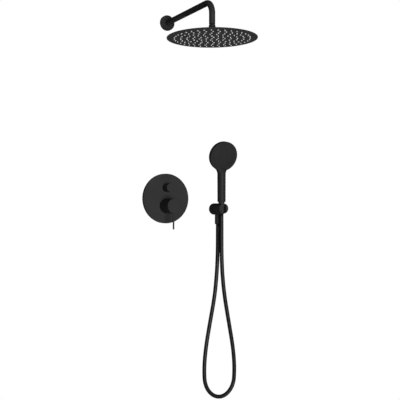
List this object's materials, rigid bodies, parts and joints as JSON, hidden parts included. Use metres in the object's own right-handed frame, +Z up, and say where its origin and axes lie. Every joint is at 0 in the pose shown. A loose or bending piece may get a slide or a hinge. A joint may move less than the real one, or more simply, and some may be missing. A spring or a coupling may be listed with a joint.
{
  "type": "concealed rain shower set",
  "caption": "Matte black concealed shower set: round rain head on a wall arm, mixer with diverter on a round plate, and a hand shower on a wall outlet with a hanging hose.",
  "frame": {"origin": "centre of the round trim plate, on the finished wall plane", "axes": "+X to the right along the wall, -Y out of the wall to the bather, +Z up"},
  "size_m": [0.4171, 0.588, 1.4353],
  "materials": {
    "black_coat": "matte black powder coat on brass and steel, fine even grain",
    "black_chromed_plastic": "matte black coated ABS, fine even grain",
    "nozzle_silicone": "soft light grey silicone, dull",
    "dark_silicone": "soft dark grey silicone, dull",
    "hose_skin": "smooth black PVC hose skin, satin",
    "seal_rubber": "black EPDM rubber, dull",
    "seal_foam": "grey closed-cell foam, dull",
    "raw_brass": "cast and machined brass, satin, a little dulled",
    "copper_pipe": "drawn copper pipe, satin",
    "steel": "turned stainless steel, satin",
    "ceramic_plastic": "off-white acetal cartridge body, satin",
    "seat_plastic": "white PTFE, waxy"
  },
  "bodies": {
    "wall_set": {"arm_tube": "black_coat", "arm_flange": "black_coat", "arm_flange_seal": "seal_rubber", "arm_wall_elbow": "raw_brass", "outlet_wall_elbow": "raw_brass", "elbow_screws": "steel", "head_ball": "black_coat", "valve_body": "raw_brass", "valve_screws": "steel", "mixing_cartridge": "ceramic_plastic", "cartridge_nut": "raw_brass", "mixer_sleeve": "black_coat", "diverter_cartridge": "ceramic_plastic", "diverter_nut": "raw_brass", "trim_plate": "black_coat", "plate_seal": "seal_foam", "riser_pipe": "copper_pipe", "outlet_pipe": "copper_pipe", "pipe_nuts": "raw_brass", "pipe_olives": "raw_brass", "outlet_body": "black_coat", "outlet_set_screw": "steel", "outlet_connector": "raw_brass", "outlet_seal": "seal_rubber", "check_valve": "ceramic_plastic", "outlet_spigot": "black_coat", "hose_wall_nut": "black_coat", "wall_nut_washer": "seal_rubber", "hose_wall_tail": "raw_brass", "hose": "hose_skin"},
    "head_lower_ring": {"head_lower_seat": "seat_plastic"},
    "head_upper_ring": {"head_upper_seat": "seat_plastic"},
    "rain_head": {"head_nut": "black_coat", "head_socket": "raw_brass", "head_seal_ring": "seal_rubber", "head_flow_disc": "ceramic_plastic", "head_top_shell": "black_coat", "head_face_plate": "black_coat", "head_nozzle_mat": "nozzle_silicone"},
    "mixer_turret": {"cartridge_turret": "ceramic_plastic", "handle_pivot_pin": "steel"},
    "mixer_lever": {"handle_stem": "steel", "mixer_handle": "black_coat", "lever_pin": "black_coat", "handle_set_screw": "steel"},
    "diverter": {"diverter_spindle": "steel", "diverter_knob": "black_coat", "diverter_set_screw": "steel"},
    "hose_end": {"hose_hand_tail": "raw_brass"},
    "hand_shower": {"hose_cone_nut": "black_coat", "cone_nut_washer": "seal_rubber", "hand_handle": "black_chromed_plastic", "hand_inner_tube": "ceramic_plastic", "hand_head_shell": "black_chromed_plastic", "hand_inner_plate": "ceramic_plastic", "hand_face_plate": "black_chromed_plastic", "hand_nozzles": "dark_silicone", "button_spring": "steel"},
    "mode_button": {"mode_button": "black_chromed_plastic"}
  },
  "joints": [
    {"name": "head_tilt_x", "type": "hinge", "parent": "wall_set", "child": "head_lower_ring", "pos_m": [0.007, -0.35, 0.553], "axis": [1, 0, 0], "range_deg": [-10, 10]},
    {"name": "head_tilt_y", "type": "hinge", "parent": "head_lower_ring", "child": "head_upper_ring", "pos_m": [0.007, -0.35, 0.553], "axis": [0, 1, 0], "range_deg": [-10, 10]},
    {"name": "head_spin", "type": "hinge", "parent": "head_upper_ring", "child": "rain_head", "pos_m": [0.007, -0.35, 0.553], "axis": [0, 0, 1], "continuous": true},
    {"name": "mixer_temperature", "type": "hinge", "parent": "wall_set", "child": "mixer_turret", "pos_m": [0, -0.033, -0.0273], "axis": [0, -1, 0], "range_deg": [-45, 45]},
    {"name": "mixer_flow", "type": "hinge", "parent": "mixer_turret", "child": "mixer_lever", "pos_m": [0, -0.033, -0.0273], "axis": [-1, 0, 0], "range_deg": [0, 18]},
    {"name": "diverter_turn", "type": "hinge", "parent": "wall_set", "child": "diverter", "pos_m": [0, -0.03, 0.04], "axis": [0, -1, 0], "range_deg": [0, 90]},
    {"name": "hand_lift", "type": "slide", "parent": "wall_set", "child": "hose_end", "axis": [0, 0, 1], "range_m": [0, 0.06]},
    {"name": "hand_swivel", "type": "hinge", "parent": "hose_end", "child": "hand_shower", "pos_m": [0.207, -0.059, -0.03], "axis": [0, 0, 1], "continuous": true},
    {"name": "mode_press", "type": "slide", "parent": "hand_shower", "child": "mode_button", "axis": [0, 0.9781, -0.2079], "range_m": [0, 0.0015], "stiffness_N_per_m": 300, "springref_m": -0.002}
  ]
}
